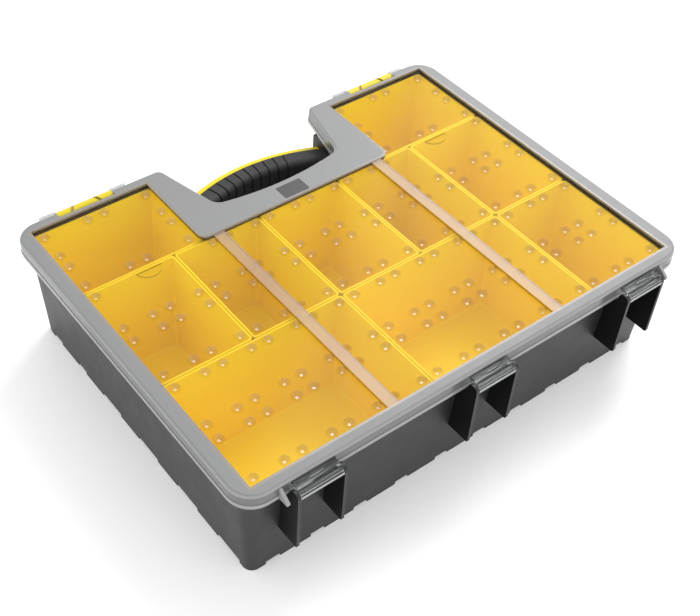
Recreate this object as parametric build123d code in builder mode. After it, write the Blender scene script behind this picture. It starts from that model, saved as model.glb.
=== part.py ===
from build123d import *
from math import asin, cos, degrees, hypot, sin
import os

os.makedirs("parts", exist_ok=True)

# Compartment grid
cell_width = 39.8
cell_depth = 54.7
columns = 10
rows = 4

# Lid and overall height
height = 105.0
side_band = 13.0
near_band = 10.6
far_band = 10.0
lid_corner_radius = 20.0
lid_wall = 2.2
plateau_thickness = 2.0
skirt_height = 13.0
lip_height = 3.5
lip_reach = 0.4
lid_edge_radius = 2.5
panel_drop = 3.0
panel_thickness = 2.0
panel_wall = 2.0
panel_corner_radius = 2.5

# Handle bay, the notch in the far side of the lid and tub
bay_side_band = 13.6
bay_floor_band = 20.6
bay_taper = 15.0
bay_floor_bow = 7.0
bay_floor_corner = 10.0
bay_mouth_corner = 7.0
bay_panel_overlap_side = 4.9
bay_panel_overlap_floor = 3.4
bay_panel_corner = 8.0

# Lid ribs, pits, finger marks and label
rib_width = 9.6
rib_height = 2.6
rib_wall = 2.2
pit_offset = 7.4
corner_pit_pitch = 53.0
pit_radius = 3.6
pit_tip_radius = 1.1
pit_depth = 3.4
pit_wall = 1.0
boss_depth = 2.8
mark_width = 22.0
mark_depth = 8.5
mark_margin = 5.4
mark_sink = 0.7
label_width = 24.0
label_depth = 15.0
label_thickness = 0.6
label_gap = 0.1
label_corner = 1.5
label_margin = 2.5

# Tub
tub_wall = 2.2
tub_floor = 2.2
tub_top_inset = 7.0
tub_bottom_inset = 12.0
tub_bottom_inset_far = 9.5
tub_corner_radius_top = 13.0
tub_corner_radius_bottom = 8.0
foot_size = 27.0
foot_height = 3.0
lid_seat_gap = 0.2

# Bins
bin_gap = 0.4
bin_wall = 1.5
bin_floor = 1.6
bin_draft = 3.5
bin_corner_radius = 3.0
bin_foot_radius = 4.5
bin_floor_radius = 3.5
bin_rim_drop = 0.4
bin_seat_gap = 0.1

# Hinges
hinge_reach = 11.0
hinge_spacing = 156.0
hinge_width = 41.0
fin_thickness = 2.5
fin_height = 54.0
fin_tip_radius = 1.5
hinge_ear_radius = 4.7
hinge_axis_drop = 10.0
pin_radius = 1.5
pin_running_gap = 0.05
pin_seat_gap = 0.02
pin_hold = 1.7
pin_end_gap = 0.1
hinge_side_gap = 0.4
hinge_clearance = 0.7
knuckle_radius = 4.2
strap_thickness = 2.2
ridge_length = 11.0
ridge_size = 1.2
gusset_place = 182.5
gusset_thickness = 2.5
strap_lip = 0.4
strap_root_drop = 2.4

# Latches
latch_spacing = 294.0
latch_reach = 4.0
latch_width = 50.0
latch_head_radius = 5.2
latch_plate = 2.8
latch_length = 36.0
latch_side_gap = 0.3
latch_head_gap = 0.35
latch_stub_radius = 1.8
latch_stub_length = 4.5
latch_stub_gap = 0.05
latch_head_drop = 1.0
latch_notch_offset = 11.0
latch_notch_angle = 30.0
latch_notch_width = 2.4
latch_notch_depth = 1.6
latch_nose_height = 4.0
latch_nose_gap = 0.4
latch_lip_height = 4.0
latch_lip_depth = 5.0
latch_lip_radius = 1.2
ear_width = 13.2
ear_radius = 2.5
catch_height = 3.0
catch_reach = 4.8
catch_drop = 26.0

# Handle
handle_bow_radius = 163.0
handle_setback = 6.8
handle_height = 71.8
core_depth = 18.0
core_thickness = 17.0
core_radius = 3.5
strip_depth = 5.4
grip_depth = 18.7
grip_thickness = 23.0
grip_radius = 6.0
grip_end_gap = 0.3
groove_pitch = 10.1
groove_shift = 4.3
groove_width = 1.6
groove_depth = 1.0
groove_count = 9
bracket_thickness = 5.0
bracket_margin = 3.0
bracket_corner = 2.0
bracket_top_gap = 0.7
bracket_root = 9.0
tenon_length = 3.0
tenon_gap = 0.1
tenon_depth = 8.0
tenon_thickness = 9.0

# How far a cut runs past the faces that it opens
cut_margin = 1.0

# Places worked out from the sizes above
grid_half = columns * cell_width / 2
half_length = grid_half + side_band
grid_depth = rows * cell_depth
corner_bin_width = 2 * cell_depth
corner_bin_depth = 2 * cell_width
lid_depth = near_band + grid_depth + corner_bin_depth + far_band
overall_depth = hinge_reach + lid_depth + latch_reach
near_edge = hinge_reach - overall_depth / 2
far_edge = near_edge + lid_depth
grid_near = near_edge + near_band
grid_far = grid_near + grid_depth
panel_far = far_edge - far_band
bay_mouth_half = grid_half - corner_bin_width - bay_side_band
bay_floor_half = bay_mouth_half - bay_taper
bay_floor_middle = grid_far + bay_floor_band
bay_floor_side = bay_floor_middle + bay_floor_bow
bay_panel_half = grid_half - corner_bin_width + bay_panel_overlap_side
bay_panel_near = grid_far - bay_panel_overlap_floor
panel_top = height - panel_drop
panel_bottom = panel_top - panel_thickness
plateau_bottom = height - plateau_thickness
skirt_bottom = height - skirt_height
rim_top = panel_bottom - lid_seat_gap
floor_top = foot_height + tub_floor
bin_top = panel_bottom - bin_rim_drop
bin_bottom = floor_top + bin_seat_gap
hinge_places = [-hinge_spacing, 0, hinge_spacing]
hinge_y = near_edge - hinge_reach + hinge_ear_radius
hinge_z = height - hinge_axis_drop
fin_bottom = hinge_z - fin_height
pin_length = hinge_width - 2 * fin_thickness + 2 * pin_hold
corner_bin_x = grid_half - corner_bin_width / 2
latch_places = [-latch_spacing / 2, latch_spacing / 2]
latch_y = far_edge + latch_reach - latch_head_radius
latch_z = height - latch_head_drop - latch_head_radius
latch_notch_y = latch_y - latch_head_radius - latch_head_gap


def bay_shift(inset):
    slant = bay_taper / (far_edge - bay_floor_side)
    return inset * (hypot(1, slant) - slant)


def draw_footprint(inset, far_inset, corner, mouth_corner, floor_corner):
    side = half_length - inset
    near = near_edge + inset
    far = far_edge - far_inset
    mouth = bay_mouth_half + bay_shift(inset)
    floor_half = bay_floor_half + bay_shift(inset)
    floor_side = bay_floor_side - inset
    floor_middle = bay_floor_middle - inset
    with BuildSketch(Plane.XY, mode=Mode.PRIVATE) as outline:
        with BuildLine():
            Polyline((-floor_half, floor_side), (-mouth, far), (-side, far), (-side, near),
                     (side, near), (side, far), (mouth, far), (floor_half, floor_side))
            ThreePointArc((floor_half, floor_side), (0, floor_middle), (-floor_half, floor_side))
        make_face()
        outer = outline.vertices().filter_by(lambda v: abs(abs(v.X) - side) < 0.01)
        fillet(outer, corner)
        mouths = outline.vertices().filter_by(
            lambda v: abs(abs(v.X) - mouth) < 0.01 and abs(v.Y - far) < 0.01)
        fillet(mouths, mouth_corner)
        floors = outline.vertices().filter_by(
            lambda v: abs(abs(v.X) - floor_half) < 0.01 and abs(v.Y - floor_side) < 0.01)
        fillet(floors, floor_corner)
    return outline.sketch


def lid_footprint(inset):
    return draw_footprint(inset, inset, lid_corner_radius - inset, bay_mouth_corner - inset,
                          bay_floor_corner + inset)


def tub_footprint(share, wall):
    # share 0 is the bottom of the drafted wall, 1 its rim
    inset = tub_bottom_inset + (tub_top_inset - tub_bottom_inset) * share + wall
    far_inset = tub_bottom_inset_far + (tub_top_inset - tub_bottom_inset_far) * share + wall
    corner = tub_corner_radius_bottom + (tub_corner_radius_top - tub_corner_radius_bottom) * share
    return draw_footprint(inset, far_inset, corner - wall, bay_mouth_corner - wall,
                          bay_floor_corner + tub_top_inset + wall)


def wall_share(z):
    return (z - foot_height) / (rim_top - foot_height)


def tub_face_far(z):
    share = wall_share(z)
    return far_edge - tub_bottom_inset_far - (tub_top_inset - tub_bottom_inset_far) * share


# Cell nodes: the corners of the grid, and those of the two sideways corner bins
grid_nodes = [(grid_half * (2 * i / columns - 1), grid_near + j * cell_depth)
              for i in range(columns + 1) for j in range(rows + 1)]
corner_nodes = [(side * (grid_half - i * cell_depth), grid_far + j * cell_width)
                for side in (-1, 1) for i in range(3) for j in (1, 2)]

catch_z = latch_z - catch_drop
catch_outer = tub_face_far(catch_z) + catch_reach
bar_center_y = far_edge - handle_setback - handle_bow_radius
core_mid_radius = handle_bow_radius - core_depth / 2
grip_outer_radius = handle_bow_radius - strip_depth
bar_inner_radius = handle_bow_radius - strip_depth - grip_depth


def bar_y(radius, x):
    return bar_center_y + (radius**2 - x**2) ** 0.5


bar_end_y = bar_y(core_mid_radius, bay_floor_half)
bay_wall_x = (bay_floor_half + bay_shift(tub_top_inset)
              + bay_taper * (bar_end_y - bay_floor_side) / (far_edge - bay_floor_side))
bracket_face = bay_wall_x - bracket_thickness
bracket_near = bar_y(bar_inner_radius, bracket_face) - bracket_margin
bracket_far = bar_y(handle_bow_radius, bracket_face) + bracket_margin
bracket_bottom = handle_height - grip_thickness / 2 - bracket_margin
bracket_top = skirt_bottom - bracket_top_gap
tenon_y = bar_y(core_mid_radius, bracket_face)
bar_half_sweep = degrees(asin((bracket_face + tenon_length) / bar_inner_radius))

# Tub
with BuildPart() as tub:
    with BuildSketch(Plane.XY.offset(foot_height)):
        add(tub_footprint(0, 0))
    with BuildSketch(Plane.XY.offset(rim_top)):
        add(tub_footprint(1, 0))
    loft(ruled=True)
    # hinge fins with a round ear, and in it a blind socket for the pin
    for place in hinge_places:
        for side in (-1, 1):
            fin_shoulder = skirt_bottom - hinge_clearance
            fin_outer = hinge_y - hinge_ear_radius
            fin_inner = hinge_y + hinge_ear_radius
            with BuildSketch(Plane.YZ.offset(place + side * (hinge_width - fin_thickness) / 2)) as fin:
                with BuildLine():
                    Polyline((grid_near, fin_bottom), (fin_outer, fin_bottom), (fin_outer, hinge_z),
                             (fin_inner, hinge_z), (fin_inner, fin_shoulder),
                             (grid_near, fin_shoulder), close=True)
                make_face()
                fillet(fin.vertices().group_by(Axis.X)[0].sort_by(Axis.Y)[0], fin_tip_radius)
                with Locations((hinge_y, hinge_z)):
                    Circle(hinge_ear_radius)
            extrude(amount=fin_thickness / 2, both=True)
        with Locations((place, hinge_y, hinge_z)):
            Cylinder(pin_radius + pin_seat_gap, pin_length + 2 * pin_end_gap, rotation=(0, 90, 0),
                     mode=Mode.SUBTRACT)
    # catch ribs that the latches hook under
    for place in latch_places:
        with BuildSketch(Plane.YZ.offset(place)):
            with BuildLine():
                catch_shoulder = catch_z + catch_height + catch_reach
                Polyline((panel_far, catch_z), (catch_outer, catch_z), (catch_outer, catch_z + catch_height),
                         (tub_face_far(catch_shoulder), catch_shoulder), (panel_far, catch_shoulder),
                         close=True)
            make_face()
        extrude(amount=latch_width / 2 - latch_side_gap, both=True)
    # brackets that the handle's ends plug into
    for side in (-1, 1):
        with BuildSketch(Plane.YZ.offset(side * bracket_face)):
            with Locations(((bracket_near + bracket_far) / 2, (bracket_bottom + bracket_top) / 2)):
                RectangleRounded(bracket_far - bracket_near, bracket_top - bracket_bottom, bracket_corner)
        extrude(amount=side * (bracket_thickness + bracket_root))
    with BuildSketch(Plane.XY.offset(floor_top)):
        add(tub_footprint(wall_share(floor_top), tub_wall))
    with BuildSketch(Plane.XY.offset(rim_top)):
        add(tub_footprint(1, tub_wall))
    loft(ruled=True, mode=Mode.SUBTRACT)
    for side in (-1, 1):
        with BuildSketch(Plane.YZ.offset(side * bracket_face)):
            with Locations((tenon_y, handle_height)):
                Rectangle(tenon_depth + 2 * tenon_gap, tenon_thickness + 2 * tenon_gap)
        extrude(amount=side * (tenon_length + tenon_gap), mode=Mode.SUBTRACT)
    # square feet under every cell corner
    with BuildSketch(Plane.XY):
        with Locations(*grid_nodes, *corner_nodes):
            Rectangle(foot_size, foot_size)
        add(tub_footprint(0, 0), mode=Mode.INTERSECT)
    extrude(amount=foot_height)


# Bins
def make_bin(x, y, width, depth):
    top_width = width - 2 * bin_gap
    top_depth = depth - 2 * bin_gap
    floor_share = bin_floor / (bin_top - bin_bottom)
    hollow_inset = bin_wall + bin_draft * (1 - floor_share)
    with BuildPart() as tray:
        with BuildSketch(Plane((x, y, bin_bottom))):
            RectangleRounded(top_width - 2 * bin_draft, top_depth - 2 * bin_draft, bin_foot_radius)
        with BuildSketch(Plane((x, y, bin_top))):
            RectangleRounded(top_width, top_depth, bin_corner_radius)
        loft(ruled=True)
        fillet(tray.faces().sort_by(Axis.Z)[0].edges(), bin_floor_radius)
        with BuildSketch(Plane((x, y, bin_bottom + bin_floor))):
            RectangleRounded(top_width - 2 * hollow_inset, top_depth - 2 * hollow_inset,
                             bin_foot_radius - bin_wall)
        with BuildSketch(Plane((x, y, bin_top))):
            RectangleRounded(top_width - 2 * bin_wall, top_depth - 2 * bin_wall, bin_corner_radius - bin_wall)
        loft(ruled=True, mode=Mode.SUBTRACT)
        hollow_floor = tray.faces().filter_by(Axis.Z).sort_by(Axis.Z)[1]
        fillet(hollow_floor.edges(), bin_floor_radius - bin_wall)
    return tray.part


small_width = 2 * cell_width
large_width = 4 * cell_width
bin_depth = 2 * cell_depth
near_row_y = grid_near + cell_depth
middle_row_y = near_row_y + bin_depth
corner_row_y = grid_far + small_width / 2
bins = {
    "bin_near_large_left": make_bin(large_width / 2 - grid_half, near_row_y, large_width, bin_depth),
    "bin_near_large_center": make_bin(1.5 * large_width - grid_half, near_row_y, large_width, bin_depth),
    "bin_near_small": make_bin(grid_half - small_width / 2, near_row_y, small_width, bin_depth),
    "bin_corner_left": make_bin(-corner_bin_x, corner_row_y, bin_depth, small_width),
    "bin_corner_right": make_bin(corner_bin_x, corner_row_y, bin_depth, small_width),
}
for i in range(columns // 2):
    bins[f"bin_middle_{i + 1}"] = make_bin((i + 0.5) * small_width - grid_half, middle_row_y,
                                           small_width, bin_depth)

# Lid
def is_beside_mark(x, y):
    # the line between a middle bin and a corner bin carries a finger mark and no pits
    return y > grid_far - cell_depth / 2 and 2.5 * cell_width < abs(x) < grid_half - cell_width / 2


pit_grid = [(x + i * pit_offset, y + j * pit_offset)
            for x, y in grid_nodes for i in (-1, 1) for j in (-1, 1)
            if abs(x + i * pit_offset) < grid_half and grid_near < y + j * pit_offset < grid_far
            and not is_beside_mark(x, y)]
# over a corner bin the pits stand along its edges only
corner_pit_nodes = [(side * (grid_half - i * corner_pit_pitch), grid_far + j * cell_width)
                    for side in (-1, 1) for i in range(3) for j in range(3) if i != 1 or j != 1]
pit_corners = [(x + i * pit_offset, y + j * pit_offset)
               for x, y in corner_pit_nodes for i in (-1, 1) for j in (-1, 1)
               if bay_panel_half < abs(x + i * pit_offset) < grid_half
               and grid_far < y + j * pit_offset < panel_far]
pits = pit_grid + pit_corners


def draw_panel(grow):
    with BuildSketch(Plane.XY, mode=Mode.PRIVATE) as panel:
        with Locations((0, (grid_near + panel_far) / 2)):
            Rectangle(2 * (grid_half + grow), panel_far - grid_near + 2 * grow)
        with Locations((0, bay_panel_near + grow)):
            Rectangle(2 * (bay_panel_half - grow), panel_far - bay_panel_near + far_band,
                      align=(Align.CENTER, Align.MIN), mode=Mode.SUBTRACT)
        inner = panel.vertices().filter_by(lambda v: abs(v.Y - bay_panel_near - grow) < 0.01)
        outer = panel.vertices().filter_by(lambda v: abs(v.Y - bay_panel_near - grow) >= 0.01)
        fillet(inner, bay_panel_corner - grow)
        fillet(outer, panel_corner_radius + grow)
    return panel.sketch


def draw_mark():
    radius = ((mark_width / 2) ** 2 + mark_depth**2) / (2 * mark_depth)
    with BuildSketch(Plane.XY, mode=Mode.PRIVATE) as mark:
        with BuildLine():
            RadiusArc((-mark_width / 2, 0), (mark_width / 2, 0), -radius)
            Line((mark_width / 2, 0), (-mark_width / 2, 0))
        make_face()
    return mark.sketch


# Frame of the lid
with BuildPart() as lid_frame:
    # skirt with its lip, plateau with a rounded edge, hollow below
    with BuildSketch(Plane.XY.offset(skirt_bottom)):
        add(lid_footprint(lip_reach))
    extrude(amount=skirt_height)
    fillet(lid_frame.faces().sort_by(Axis.Z)[-1].edges(), lid_edge_radius)
    with BuildSketch(Plane.XY.offset(skirt_bottom)):
        add(lid_footprint(0))
    extrude(amount=lip_height)
    with BuildSketch(Plane.XY.offset(skirt_bottom)):
        add(lid_footprint(lip_reach + lid_wall))
    extrude(amount=skirt_height - plateau_thickness, mode=Mode.SUBTRACT)
    # window for the clear panel
    with BuildSketch(Plane.XY.offset(plateau_bottom - cut_margin)):
        add(draw_panel(panel_wall))
    extrude(amount=plateau_thickness + 2 * cut_margin, mode=Mode.SUBTRACT)
    # latch notches and the ears beside them
    for place in latch_places:
        with BuildSketch(Plane.XY.offset(skirt_bottom - cut_margin)):
            with Locations((place, latch_notch_y)):
                Rectangle(latch_width + 2 * latch_side_gap, far_edge - latch_notch_y + cut_margin,
                          align=(Align.CENTER, Align.MIN))
        extrude(amount=skirt_height + 2 * cut_margin, mode=Mode.SUBTRACT)
        for side in (-1, 1):
            ear_x = place + side * ((latch_width + ear_width) / 2 + latch_side_gap)
            with BuildSketch(Plane.YZ.offset(ear_x)) as ear:
                with Locations((latch_notch_y, skirt_bottom)):
                    Rectangle(far_edge + latch_reach - latch_notch_y, height - latch_head_drop - skirt_bottom,
                              align=(Align.MIN, Align.MIN))
                fillet(ear.vertices().sort_by(Axis.X)[-2:], ear_radius)
            extrude(amount=ear_width / 2, both=True)
            with BuildSketch(Plane.YZ.offset(ear_x - side * ear_width / 2)):
                with Locations((latch_y, latch_z)):
                    Circle(latch_stub_radius + latch_stub_gap)
            extrude(amount=side * (latch_stub_length + latch_side_gap), mode=Mode.SUBTRACT)
    # hinge tabs: a strap over a knuckle, with a short ridge
    strap_root = near_edge + lip_reach + lid_wall / 2
    strap_outer = near_edge - hinge_reach
    strap_inner = strap_outer + strap_thickness
    strap_top = height - strap_root_drop
    ridge_z = strap_top - (strap_top - hinge_z - hinge_ear_radius) / 2
    tab_half = hinge_width / 2 - fin_thickness - hinge_side_gap
    for place in hinge_places:
        with BuildSketch(Plane.YZ.offset(place)):
            with BuildLine():
                Polyline((strap_root, strap_top), (strap_inner, hinge_z + hinge_ear_radius),
                         (strap_outer, hinge_z + strap_thickness), (strap_outer, hinge_z - strap_lip),
                         (strap_inner, hinge_z - strap_lip), (hinge_y, hinge_z),
                         (hinge_y, hinge_z + knuckle_radius - strap_lip),
                         (strap_root, strap_top - strap_thickness), close=True)
            make_face()
            with Locations((hinge_y, hinge_z)):
                Circle(knuckle_radius)
        extrude(amount=tab_half, both=True)
        with BuildSketch(Plane.YZ.offset(place)):
            with Locations((hinge_y, hinge_z)):
                Circle(pin_radius + pin_running_gap)
        extrude(amount=tab_half, both=True, mode=Mode.SUBTRACT)
        with Locations((place, (strap_root + strap_inner) / 2, ridge_z)):
            Box(ridge_length, ridge_size, 2 * ridge_size)
    # gussets that close the outer ends of the outer hinges
    for side in (-1, 1):
        with BuildSketch(Plane.YZ.offset(side * gusset_place)):
            with BuildLine():
                Polyline((strap_root, strap_top), (strap_inner, hinge_z),
                         (strap_inner, hinge_z - strap_thickness), (strap_root, skirt_bottom), close=True)
            make_face()
        extrude(amount=gusset_thickness / 2, both=True)
    # the label's seat
    label_y = bay_panel_near + label_margin + label_depth / 2
    with BuildSketch(Plane.XY.offset(height)):
        with Locations((0, label_y)):
            RectangleRounded(label_width + 2 * label_gap, label_depth + 2 * label_gap, label_corner)
    extrude(amount=-label_thickness, mode=Mode.SUBTRACT)

# Clear panel of the lid, a shallow tray in the frame's window
with BuildPart() as lid_panel:
    with BuildSketch(Plane.XY.offset(panel_bottom)):
        add(draw_panel(panel_wall))
    extrude(amount=height - panel_bottom)
    with BuildSketch(Plane.XY.offset(panel_top)):
        add(draw_panel(0))
    extrude(amount=panel_drop, mode=Mode.SUBTRACT)
    # pits that stand down into the bins' corners
    with Locations(*[(x, y, panel_bottom - boss_depth / 2) for x, y in pits]):
        Cone(pit_tip_radius + pit_wall, pit_radius + pit_wall, boss_depth)
    with Locations(*[(x, y, panel_top - pit_depth / 2) for x, y in pits]):
        Cone(pit_tip_radius, pit_radius, pit_depth, mode=Mode.SUBTRACT)
    # raised ribs, hollow from below
    for side in (-1, 1):
        with BuildSketch(Plane.XY.offset(panel_bottom)):
            with Locations((side * 2 * cell_width, (grid_near + bay_panel_near) / 2)):
                Rectangle(rib_width, bay_panel_near - grid_near + panel_wall)
        extrude(amount=panel_thickness + rib_height)
        with BuildSketch(Plane.XY.offset(panel_bottom)):
            with Locations((side * 2 * cell_width, (grid_near + bay_panel_near) / 2)):
                Rectangle(rib_width - 2 * rib_wall, bay_panel_near - grid_near - 2 * rib_wall)
        extrude(amount=panel_thickness + rib_height - rib_wall, mode=Mode.SUBTRACT)
    # finger marks
    for side in (-1, 1):
        with BuildSketch(Plane.XY.offset(panel_top)):
            with Locations((side * corner_bin_x, grid_far - mark_margin)):
                add(draw_mark())
        extrude(amount=-mark_sink, mode=Mode.SUBTRACT)

# Label plate
with BuildPart() as label_plate:
    with BuildSketch(Plane.XY.offset(height - label_thickness)):
        with Locations((0, label_y)):
            RectangleRounded(label_width, label_depth, label_corner)
    extrude(amount=label_thickness)


# Latches
def make_latch(place):
    latch_outer = latch_y + latch_head_radius
    latch_inner = latch_outer - latch_plate
    latch_bottom = latch_z - latch_length
    nose_top = catch_z - latch_nose_gap
    with BuildPart() as latch:
        with BuildSketch(Plane.YZ.offset(place)) as section:
            with Locations((latch_inner, latch_bottom)):
                Rectangle(latch_plate, latch_length, align=(Align.MIN, Align.MIN))
            with Locations((latch_outer, latch_bottom)):
                Rectangle(latch_lip_depth, latch_lip_height, align=(Align.MAX, Align.MIN))
            lip = section.vertices().group_by(Axis.Y)[0]
            fillet(lip, latch_lip_radius)
            with Locations((latch_y, latch_z)):
                Circle(latch_head_radius)
            with BuildLine():
                Polyline((latch_inner, nose_top), (catch_outer + latch_nose_gap, nose_top),
                         (catch_outer + latch_nose_gap, nose_top - latch_nose_height / 2),
                         (latch_inner, nose_top - latch_nose_height), close=True)
            make_face()
        extrude(amount=latch_width / 2, both=True)
        with Locations((place, latch_y, latch_z)):
            Cylinder(latch_stub_radius, latch_width + 2 * latch_stub_length, rotation=(0, 90, 0))
        for side in (-1, 1):
            with Locations((place + side * latch_notch_offset, latch_y, latch_z + latch_head_radius)):
                Box(latch_notch_width, 4 * latch_head_radius, 2 * latch_notch_depth,
                    rotation=(0, 0, side * latch_notch_angle), mode=Mode.SUBTRACT)
    return latch.part


# Handle: a core that plugs into the tub's brackets, and a soft grip round it
bar_axis = Axis((0, bar_center_y, 0), (0, 0, 1))
with BuildPart() as handle_core:
    with BuildSketch(Plane.YZ):
        with Locations((bar_center_y + core_mid_radius, handle_height)):
            RectangleRounded(core_depth, core_thickness, core_radius)
    revolve(axis=bar_axis, revolution_arc=bar_half_sweep)
    mirror(about=Plane.YZ)
    with Locations((0, far_edge, handle_height)):
        Box(2 * bracket_face, 2 * far_edge, core_thickness, mode=Mode.INTERSECT)
    with Locations((-bracket_face, tenon_y, handle_height), (bracket_face, tenon_y, handle_height)):
        Box(2 * tenon_length, tenon_depth, tenon_thickness)

with BuildPart() as handle_grip:
    with BuildSketch(Plane.YZ):
        with Locations((bar_center_y + grip_outer_radius - grip_depth / 2, handle_height)):
            RectangleRounded(grip_depth, grip_thickness, grip_radius)
    revolve(axis=bar_axis, revolution_arc=bar_half_sweep)
    mirror(about=Plane.YZ)
    with Locations((0, far_edge, handle_height)):
        Box(2 * (bracket_face - grip_end_gap), 2 * far_edge, 2 * grip_thickness, mode=Mode.INTERSECT)
    # shallow grooves across it
    for i in range(groove_count):
        turn = ((i - (groove_count - 1) / 2) * groove_pitch - groove_shift) / grip_outer_radius
        with BuildSketch(Plane((0, bar_center_y, 0), x_dir=(sin(turn), cos(turn), 0),
                               z_dir=(cos(turn), -sin(turn), 0))):
            with Locations((grip_outer_radius - grip_depth / 2, handle_height)):
                Rectangle(grip_depth + groove_depth, grip_thickness + groove_depth)
                RectangleRounded(grip_depth - 2 * groove_depth, grip_thickness - 2 * groove_depth,
                                 grip_radius - groove_depth, mode=Mode.SUBTRACT)
        extrude(amount=groove_width / 2, both=True, mode=Mode.SUBTRACT)
    add(handle_core.part, mode=Mode.SUBTRACT)


# Hinge pins
def make_pin(place):
    with BuildPart() as pin:
        with Locations((place, hinge_y, hinge_z)):
            Cylinder(pin_radius, pin_length, rotation=(0, 90, 0))
    return pin.part


pieces = {
    "tub": tub.part,
    "lid_frame": lid_frame.part,
    "lid_panel": lid_panel.part,
    "label_plate": label_plate.part,
    "latch_left": make_latch(latch_places[0]),
    "latch_right": make_latch(latch_places[1]),
    "handle_core": handle_core.part,
    "handle_grip": handle_grip.part,
    "hinge_pin_left": make_pin(hinge_places[0]),
    "hinge_pin_center": make_pin(hinge_places[1]),
    "hinge_pin_right": make_pin(hinge_places[2]),
    **bins,
}
for name, piece in pieces.items():
    piece.label = name
    export_step(piece, f"parts/{name}.step")
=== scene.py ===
from math import radians

import bpy
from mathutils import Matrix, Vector


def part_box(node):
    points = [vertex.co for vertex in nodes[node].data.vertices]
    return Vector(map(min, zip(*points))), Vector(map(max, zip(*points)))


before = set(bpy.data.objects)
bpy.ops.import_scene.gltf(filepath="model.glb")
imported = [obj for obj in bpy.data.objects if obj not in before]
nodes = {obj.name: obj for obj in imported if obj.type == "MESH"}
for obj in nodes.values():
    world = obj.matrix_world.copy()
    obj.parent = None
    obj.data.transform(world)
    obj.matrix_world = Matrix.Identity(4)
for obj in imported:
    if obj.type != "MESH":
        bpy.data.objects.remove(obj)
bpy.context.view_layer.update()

# Camera, fitted to the photograph: pixels in its frame, metres and degrees
image_width = 700
image_height = 616
focal_px = 1156.965
center_px = (314.703, 333.717)
camera_place = (-0.444976, -0.507571, 0.711306)
camera_turn = (43.4027, -1.8407, -37.0322)
sensor_width_mm = 36

# Floor and light
floor_size = 8
floor_grey = 0.93
floor_glow = 0.2
floor_roughness = 0.9
world_strength = 0.95
white = (1, 1, 1, 1)

# Sizes of the moulded pieces
panel_drop = 0.003
panel_thickness = 0.002
skirt_height = 0.013
lip_height = 0.0035
hinge_reach = 0.011
gusset_inner = 0.1805
rib_place = 0.0796
rib_half_width = 0.0048
bay_panel_near = 0.070
latch_place = 0.147
latch_bay_half = 0.039
latch_notch_depth = 0.0016
bin_rim_depth = 0.001

# Levels and edges by which the finish of a face is chosen
slack = 0.0001
plateau_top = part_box("lid_panel")[1].z
panel_top = plateau_top - panel_drop
panel_bottom = panel_top - panel_thickness
ear_top = plateau_top - 0.0008
skirt_bottom = plateau_top - skirt_height
edge_bottom = skirt_bottom + 0.006
lip_top = skirt_bottom + lip_height + 2 * slack
tab_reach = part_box("lid_frame")[0].y
tab_outer = tab_reach + 3 * slack
near_skirt = tab_reach + hinge_reach - 2 * slack
fin_root = near_skirt + 0.0064
bin_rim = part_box("bin_middle_1")[1].z - bin_rim_depth
latch_low, latch_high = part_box("latch_left")
latch_row = latch_low.y - slack
notch_floor = latch_high.z - latch_notch_depth

# How much of a face's normal lies along an axis, from upright to flat
upright = 0.15
flat = 0.9
nearly_level = 0.97

# The middle of a noise, which its two colours or values are spread over
noise_low = 0.3
noise_high = 0.7


def node_tree(name):
    material = bpy.data.materials.new(name)
    material.use_nodes = True
    tree = material.node_tree
    return material, tree, tree.nodes["Principled BSDF"]


def object_noise(tree, scale, detail=3.0, stretch=(1, 1, 1)):
    place = tree.nodes.new("ShaderNodeTexCoord")
    mapping = tree.nodes.new("ShaderNodeMapping")
    mapping.inputs["Scale"].default_value = stretch
    noise = tree.nodes.new("ShaderNodeTexNoise")
    noise.inputs["Scale"].default_value = scale
    noise.inputs["Detail"].default_value = detail
    tree.links.new(place.outputs["Object"], mapping.inputs["Vector"])
    tree.links.new(mapping.outputs["Vector"], noise.inputs["Vector"])
    return noise.outputs["Fac"]


def spread(tree, factor, low, high):
    node = tree.nodes.new("ShaderNodeMapRange")
    node.inputs["From Min"].default_value = noise_low
    node.inputs["From Max"].default_value = noise_high
    node.inputs["To Min"].default_value = low
    node.inputs["To Max"].default_value = high
    tree.links.new(factor, node.inputs["Value"])
    return node.outputs["Result"]


def two_colours(tree, factor, first, second):
    ramp = tree.nodes.new("ShaderNodeValToRGB")
    ramp.color_ramp.elements[0].position = noise_low
    ramp.color_ramp.elements[0].color = (*first, 1)
    ramp.color_ramp.elements[1].position = noise_high
    ramp.color_ramp.elements[1].color = (*second, 1)
    tree.links.new(factor, ramp.inputs["Fac"])
    return ramp.outputs["Color"]


def bumped(tree, shader, factor, distance):
    bump = tree.nodes.new("ShaderNodeBump")
    bump.inputs["Strength"].default_value = 0.5
    bump.inputs["Distance"].default_value = distance
    tree.links.new(factor, bump.inputs["Height"])
    tree.links.new(bump.outputs["Normal"], shader.inputs["Normal"])


def moulded(name, colour, worn, roughness, grain=900, grain_height=0.00003, **constants):
    # moulded plastic: faint flow marks in the colour, uneven gloss and a fine grain
    flow_scale = 14
    gloss_scale = 60
    gloss_swing = 0.06
    material, tree, shader = node_tree(name)
    flow = object_noise(tree, flow_scale, stretch=(1, 1, 3))
    tree.links.new(two_colours(tree, flow, colour, worn), shader.inputs["Base Color"])
    gloss = spread(tree, object_noise(tree, gloss_scale), roughness * (1 - gloss_swing),
                   roughness * (1 + gloss_swing))
    tree.links.new(gloss, shader.inputs["Roughness"])
    bumped(tree, shader, object_noise(tree, grain, detail=2.0), grain_height)
    for socket, value in constants.items():
        shader.inputs[socket.replace("_", " ")].default_value = value
    return material


def see_through(name, colour, alpha, roughness, **constants):
    # clear moulding: a thin haze with faint flow marks, and what lies behind it
    worn = [0.95 * channel for channel in colour]
    return moulded(name, colour, worn, roughness, grain=45, grain_height=0.00002, Alpha=alpha, **constants)


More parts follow.
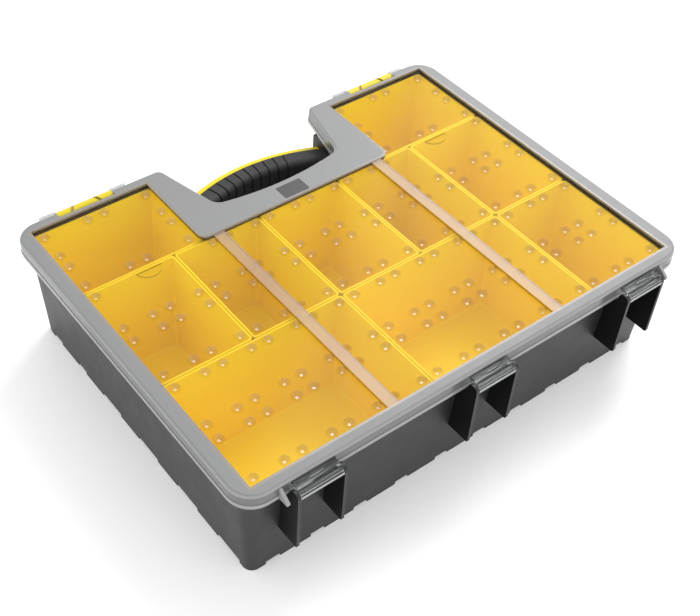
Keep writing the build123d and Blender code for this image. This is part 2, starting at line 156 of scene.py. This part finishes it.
def graded(name, painted_shade_colour, high_colour, alpha, roughness, low, high):
    # clear wall whose colour changes with height, in place of the flow marks; the colour at the foot is a
    # painted shade
    material = see_through(name, high_colour, alpha, roughness)
    tree = material.node_tree
    place = tree.nodes.new("ShaderNodeTexCoord")
    split = tree.nodes.new("ShaderNodeSeparateXYZ")
    height = tree.nodes.new("ShaderNodeMapRange")
    height.inputs["From Min"].default_value = low
    height.inputs["From Max"].default_value = high
    tree.links.new(place.outputs["Object"], split.inputs["Vector"])
    tree.links.new(split.outputs["Z"], height.inputs["Value"])
    colour = two_colours(tree, height.outputs["Result"], painted_shade_colour, high_colour)
    tree.links.new(colour, tree.nodes["Principled BSDF"].inputs["Base Color"])
    return material


def give(obj, *materials):
    obj.data.materials.clear()
    for material in materials:
        obj.data.materials.append(material)


def finish_faces(obj, choose, materials):
    give(obj, *materials.values())
    names = list(materials)
    for face in obj.data.polygons:
        face.material_index = names.index(choose(face.center, face.normal))


# Each of these gives the finish of a face from its centre and its normal
def panel_finish(place, normal):
    from_rib = abs(abs(place.x) - rib_place) - rib_half_width
    on_rib = from_rib < slack and place.y < bay_panel_near
    faces_up = normal.z > flat
    if faces_up and place.z > plateau_top - slack:
        return "rim"
    if on_rib and place.z > panel_bottom + slack:
        # the rib's upright sides get a dark brown: painted shade along the rib's edges
        if abs(normal.x) > flat and from_rib > -slack:
            return "rib_side"
        return "rib_top" if faces_up else "back"
    # the pit tips get a near-opaque whitish disc, a painted glint; the tilted pit walls get a tan tint and
    # the bosses a dark one, a painted shade ring round each pit
    if faces_up and place.z < panel_bottom:
        return "pit_tip_painted_glint"
    if upright < normal.z < nearly_level:
        return "pit"
    if place.z < panel_bottom - slack:
        return "boss"
    # upright faces inside the panel's thickness, the finger mark's edges among them, get a near-opaque
    # dark brown: a painted shade outline
    if abs(normal.z) < upright:
        # the window recess wall above the panel: dark at its foot, a painted shade
        return "wall" if place.z > panel_top - slack else "mark"
    return "window" if normal.z > 0 else "back"


# the fins' side faces near the wall get a near-black copy of the tub plastic: painted shadow cast by the
# lid's overhang
def tub_finish(place, normal):
    return "fin_side_painted_shade" if abs(normal.x) > flat and place.y < fin_root else "wall"


# the notch sides and floors get a darker, browner copy of the latch plastic: painted shade in the grooves
def latch_finish(place, normal):
    on_notch_side = abs(normal.z) < 0.2 and 0.3 < abs(normal.x) < 0.98
    on_notch_floor = normal.z > 0.99 and abs(place.z - notch_floor) < 4 * slack
    return "notch" if on_notch_side or on_notch_floor else "body"


# the upward faces of the bin rims get a darker, more orange copy of the bin plastic: painted shade that
# tones down their lit tops
def bin_finish(place, normal):
    return "rim" if normal.z > 0.3 and place.z > bin_rim else "wall"


def frame_finish(place, normal):
    beside_latch = place.y > latch_row and abs(abs(place.x) - latch_place) < latch_bay_half
    leans_back = normal.z > 0.1
    if place.y < near_skirt and abs(place.x) > gusset_inner:
        return "lip"
    # the tab's outermost faces get an opaque light grey: a painted highlight along the tab's outer edge
    if place.y < tab_outer:
        return "tab_lip"
    if place.y < near_skirt:
        return "tab"
    if beside_latch and place.z < ear_top:
        return "ear"
    # the rounded edge between the frosted top and the skirt gets a lighter grey than the top: a painted
    # highlight
    if place.z > edge_bottom and leans_back:
        return "frosted" if normal.z > 0.85 else "edge"
    # the skirt's bottom lip gets a light grey: a painted highlight along the lower edge
    if place.z < lip_top:
        return "lip"
    return "skirt" if abs(normal.z) <= 0.1 else "frosted"


# Opaque mouldings: two close colours, then the roughness
tub_materials = {
    "wall": moulded("tub_plastic", (0.0158, 0.0158, 0.0162), (0.0170, 0.0170, 0.0174), 0.48, grain=600,
                    grain_height=0.00002),
    # fin_side_painted_shade: painted shadow, the overhang's shade on the fins' side faces
    "fin_side_painted_shade": moulded("fin_side_painted_shade", (0.003, 0.003, 0.003), (0.004, 0.004, 0.004), 0.5,
                        Specular_IOR_Level=0.15),
}
bin_materials = {
    "wall": moulded("bin_plastic", (1.0, 0.765, 0.005), (0.98, 0.74, 0.004), 0.45, grain_height=0.00001,
                    Specular_IOR_Level=0.2),
    # rim: painted shade, a darker copy of the bin plastic on the rims' upward faces
    "rim": moulded("bin_rim", (0.86, 0.58, 0.002), (0.84, 0.56, 0.002), 0.5, grain_height=0.00001,
                   Specular_IOR_Level=0.1),
}
latch_materials = {
    "body": moulded("latch_plastic", (0.70, 0.56, 0.01), (0.66, 0.52, 0.01), 0.45, Specular_IOR_Level=0.3),
    # notch: painted shade in the latch's grooves
    "notch": moulded("latch_notch", (0.42, 0.31, 0.06), (0.38, 0.28, 0.06), 0.5),
}
handle_plastic = moulded("handle_plastic", (0.78, 0.60, 0.01), (0.74, 0.56, 0.01), 0.45,
                         Specular_IOR_Level=0.3)
grip_rubber = moulded("grip_rubber", (0.018, 0.017, 0.018), (0.024, 0.022, 0.024), 0.7, grain=1500,
                      grain_height=0.00006)
pin_steel = moulded("pin_steel", (0.30, 0.30, 0.30), (0.25, 0.25, 0.25), 0.3, Metallic=1.0)
label_plastic = moulded("label_plastic", (0.032, 0.032, 0.033), (0.038, 0.038, 0.039), 0.4)

# The lid's clear and frosted faces: colour, alpha, then the roughness
panel_materials = {
    "window": see_through("panel_clear", (0.72, 0.57, 0.32), 0.06, 0.12),
    "back": see_through("panel_back", (0.72, 0.57, 0.32), 0.02, 0.12),
    # mark: painted shade, a dark outline along the clear edges inside the panel
    "mark": see_through("finger_mark_painted_shade", (0.13, 0.07, 0.02), 0.90, 0.2),
    # pit, pit_tip_painted_glint and boss: the tan ring on the pit walls and the dark bosses are painted
    # shade, the whitish tip is a painted glint
    "pit": see_through("pit_wall_painted_shade", (0.62, 0.44, 0.32), 0.28, 0.10),
    "pit_tip_painted_glint": see_through("pit_tip_painted_glint", (0.95, 0.78, 0.66), 0.60, 0.10),
    "boss": see_through("pit_boss_painted_shade", (0.10, 0.06, 0.02), 0.12, 0.15),
    "rib_top": see_through("rib_clear", (0.40, 0.30, 0.245), 0.58, 0.25),
    # rib_side: painted shade on the rib's sides
    "rib_side": see_through("rib_side_painted_shade", (0.26, 0.11, 0.06), 0.60, 0.2),
    # wall: grey above and near-black brown at the foot, the dark foot being painted shade along the recess
    "wall": graded("recess_wall_painted_shade", (0.035, 0.025, 0.012), (0.27, 0.27, 0.265), 0.95, 0.2,
                   low=panel_top, high=panel_top + 0.0022),
    "rim": see_through("rim_clear", (0.30, 0.27, 0.24), 0.90, 0.2),
}
frame_materials = {
    "frosted": moulded("frosted", (0.222, 0.224, 0.226), (0.214, 0.216, 0.218), 0.50),
    # edge: painted highlight along the lid's rounded top edge
    "edge": see_through("edge_painted_highlight", (0.34, 0.345, 0.34), 0.95, 0.15),
    "skirt": see_through("skirt_clear", (0.165, 0.168, 0.168), 0.92, 0.12),
    # lip: light grey clear plastic; on the skirt's bottom lip it is a painted highlight, on the gusset
    # ends by the hinges it stands for their own frosted plastic
    "lip": see_through("lip_clear", (0.36, 0.36, 0.355), 0.90, 0.12),
    "tab": see_through("tab_clear", (0.62, 0.64, 0.64), 1.0, 0.16, Transmission_Weight=1.0, IOR=1.35),
    # tab_lip: painted highlight on the hinge tabs' outer edge
    "tab_lip": see_through("tab_lip_painted_highlight", (0.42, 0.42, 0.42), 0.80, 0.2),
    "ear": see_through("ear_clear", (0.42, 0.43, 0.43), 0.55, 0.10),
}

for name, node in nodes.items():
    if name.startswith("bin_"):
        finish_faces(node, bin_finish, bin_materials)
    if name.startswith("latch_"):
        finish_faces(node, latch_finish, latch_materials)
    if name.startswith("hinge_pin"):
        give(node, pin_steel)
give(nodes["handle_core"], handle_plastic)
give(nodes["handle_grip"], grip_rubber)
give(nodes["label_plate"], label_plastic)
finish_faces(nodes["tub"], tub_finish, tub_materials)
finish_faces(nodes["lid_panel"], panel_finish, panel_materials)
finish_faces(nodes["lid_frame"], frame_finish, frame_materials)


def add_floor():
    bpy.ops.mesh.primitive_plane_add(size=floor_size)
    floor = bpy.context.object
    floor.name = "floor"
    material, _, shader = node_tree("floor_paper")
    shader.inputs["Base Color"].default_value = (floor_grey, floor_grey, floor_grey, 1)
    shader.inputs["Emission Color"].default_value = white
    shader.inputs["Emission Strength"].default_value = floor_glow
    shader.inputs["Roughness"].default_value = floor_roughness
    give(floor, material)


def add_world():
    world = bpy.data.worlds.new("studio")
    bpy.context.scene.world = world
    world.use_nodes = True
    background = world.node_tree.nodes["Background"]
    background.inputs["Color"].default_value = white
    background.inputs["Strength"].default_value = world_strength


def add_light(name, place, aim, size, power):
    data = bpy.data.lights.new(name, "AREA")
    data.energy = power
    data.size = size
    light = bpy.data.objects.new(name, data)
    light.location = place
    light.rotation_euler = (Vector(aim) - Vector(place)).to_track_quat("-Z", "Y").to_euler()
    bpy.context.scene.collection.objects.link(light)


def add_camera():
    data = bpy.data.cameras.new("camera")
    data.sensor_width = sensor_width_mm
    data.lens = sensor_width_mm * focal_px / image_width
    data.shift_x = (image_width / 2 - center_px[0]) / image_width
    data.shift_y = (center_px[1] - image_height / 2) / image_width
    camera = bpy.data.objects.new("camera", data)
    camera.location = camera_place
    camera.rotation_euler = [radians(angle) for angle in camera_turn]
    bpy.context.scene.collection.objects.link(camera)
    bpy.context.scene.camera = camera


add_floor()
add_world()
add_light("key", place=(1.0, 0.5, 1.3), aim=(0, 0, 0), size=1.0, power=20)
add_light("fill", place=(-1.2, -0.2, 0.9), aim=(0, 0, 0.05), size=1.0, power=1)
add_camera()
bpy.context.scene.view_settings.view_transform = "Standard"
